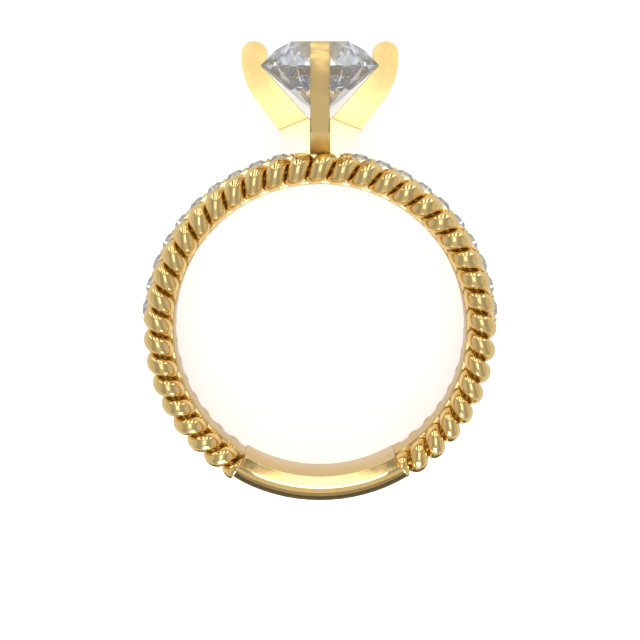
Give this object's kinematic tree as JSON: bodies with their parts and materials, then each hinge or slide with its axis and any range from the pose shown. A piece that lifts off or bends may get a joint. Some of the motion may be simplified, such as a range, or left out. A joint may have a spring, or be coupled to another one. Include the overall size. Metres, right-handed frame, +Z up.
{
  "type": "twisted shank ring",
  "caption": "Ring with a shank of twisted ropes edging a row of small pavé stones, a plain half-round bar at the bottom and a round centre stone in four tapering prongs.",
  "frame": {"origin": "centre of the bounding box's bottom face, on the table that the ring lies on", "axes": "+Z up; the ring lies on its side with its front face up, leaning about 5 degrees, +Y towards the centre stone, +X to the right as the front face is seen with the stone at the top"},
  "size_m": [0.0202, 0.0264, 0.0087],
  "materials": {
    "gold": "polished yellow gold",
    "diamond": "cut and polished"
  },
  "bodies": {
    "root": {"band": "gold", "front_rope": "gold", "back_rope": "gold", "sizing_bar": "gold", "head": "gold", "centre_stone": "diamond", "accent_stone_01": "diamond", "accent_stone_02": "diamond", "accent_stone_03": "diamond", "accent_stone_04": "diamond", "accent_stone_05": "diamond", "accent_stone_06": "diamond", "accent_stone_07": "diamond", "accent_stone_08": "diamond", "accent_stone_09": "diamond", "accent_stone_10": "diamond", "accent_stone_11": "diamond", "accent_stone_12": "diamond", "accent_stone_13": "diamond", "accent_stone_14": "diamond", "accent_stone_15": "diamond", "accent_stone_16": "diamond", "accent_stone_17": "diamond", "accent_stone_18": "diamond", "accent_stone_19": "diamond", "accent_stone_20": "diamond"}
  },
  "joints": []
}
